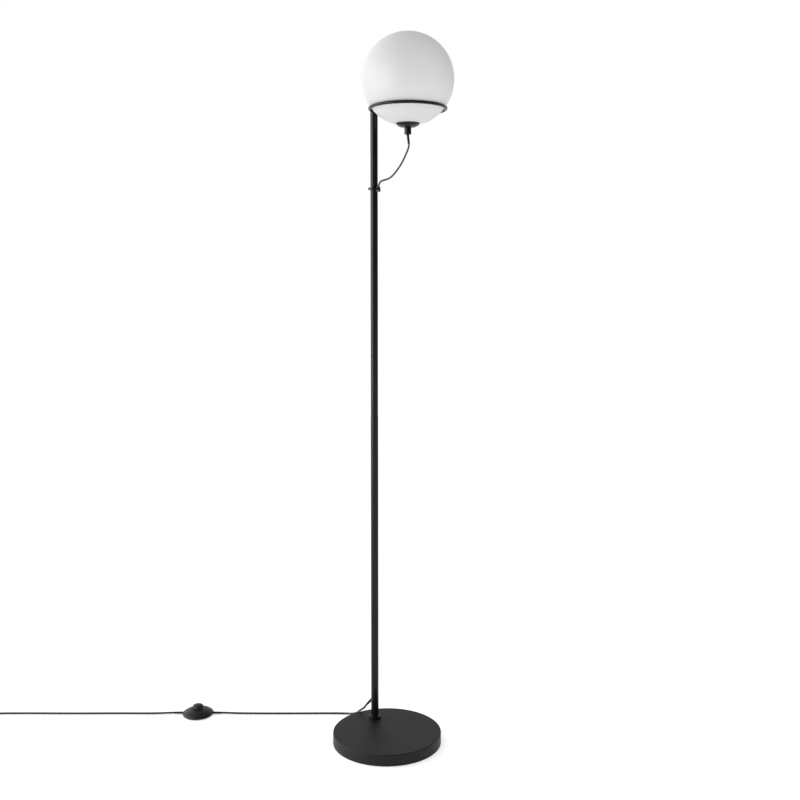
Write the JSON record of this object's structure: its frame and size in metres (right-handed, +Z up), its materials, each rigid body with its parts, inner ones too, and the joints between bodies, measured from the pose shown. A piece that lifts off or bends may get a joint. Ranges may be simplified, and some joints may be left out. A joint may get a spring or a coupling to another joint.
{
  "type": "floor lamp",
  "caption": "Globe floor lamp: an opal glass globe lies loose in a rod ring on a slim off-centre pole over a round base, with a hanging cord and a foot switch in its lead.",
  "frame": {"origin": "centre of the base's underside, on the floor", "axes": "+Z up along the pole; the front view looks along +Y, with the lead running off towards -X"},
  "size_m": [1.1762, 0.2958, 1.55],
  "materials": {
    "black_metal": "matt black powder coat",
    "opal_glass": "opaque white opal glass, matt",
    "bulb_glass": "white frosted bulb",
    "black_rubber": "matt black rubber",
    "cord_jacket": "smooth black flexible jacket",
    "black_plastic": "satin black",
    "white_plastic": "white",
    "foam_pad": "black foamed rubber",
    "cast_weight": "raw casting",
    "steel": "zinc plated",
    "brass": "plain",
    "plated_pins": "nickel plated"
  },
  "bodies": {
    "stand": {"base_pad": "foam_pad", "base_weight": "cast_weight", "base_cover": "black_metal", "pole_washer": "steel", "pole_bolt": "steel", "foot_collar": "black_metal", "foot_bush": "brass", "lower_tube": "black_metal", "pole_coupling": "steel", "upper_tube": "black_metal", "pole_top_plug": "black_metal", "globe_ring": "black_metal", "cable_collar": "black_metal", "collar_screw": "black_metal", "pendant_cord": "cord_jacket", "pole_cord": "cord_jacket", "cord_splice": "black_rubber", "pole_lead": "cord_jacket", "lead_relief": "black_rubber", "lead_to_switch": "cord_jacket", "switch_base": "black_plastic", "switch_cover": "black_plastic", "case_screws": "steel", "contact_block": "white_plastic", "terminal_screws": "brass", "return_dome": "black_rubber", "switch_reliefs": "black_rubber", "lead_to_coil": "cord_jacket", "lead_coil": "cord_jacket", "plug_lead": "cord_jacket", "plug_relief": "black_plastic", "plug_body": "black_plastic", "plug_pins": "plated_pins", "pin_sleeves": "black_plastic"},
    "button": {"switch_button": "black_plastic"},
    "globe": {"globe_shade": "opal_glass", "shade_cap": "black_metal", "cap_gasket": "black_rubber", "cord_grip": "black_metal", "cord_sleeve": "black_rubber", "holder_nipple": "steel", "nipple_nut": "steel", "shade_clip": "steel", "lampholder": "white_plastic", "socket_contacts": "brass", "bulb_cap": "steel", "bulb_glass": "bulb_glass", "holder_cord": "cord_jacket"}
  },
  "joints": [
    {"name": "switch_button_press", "type": "slide", "parent": "stand", "child": "button", "axis": [0, 0, -1], "range_m": [0, 0.003], "stiffness_N_per_m": 400, "springref_m": -0.001, "deforming": ["return_dome"]},
    {"name": "globe_lift", "type": "slide", "parent": "stand", "child": "globe", "axis": [0, 0, 1], "range_m": [0, 0.009], "deforming": ["pendant_cord"]}
  ]
}
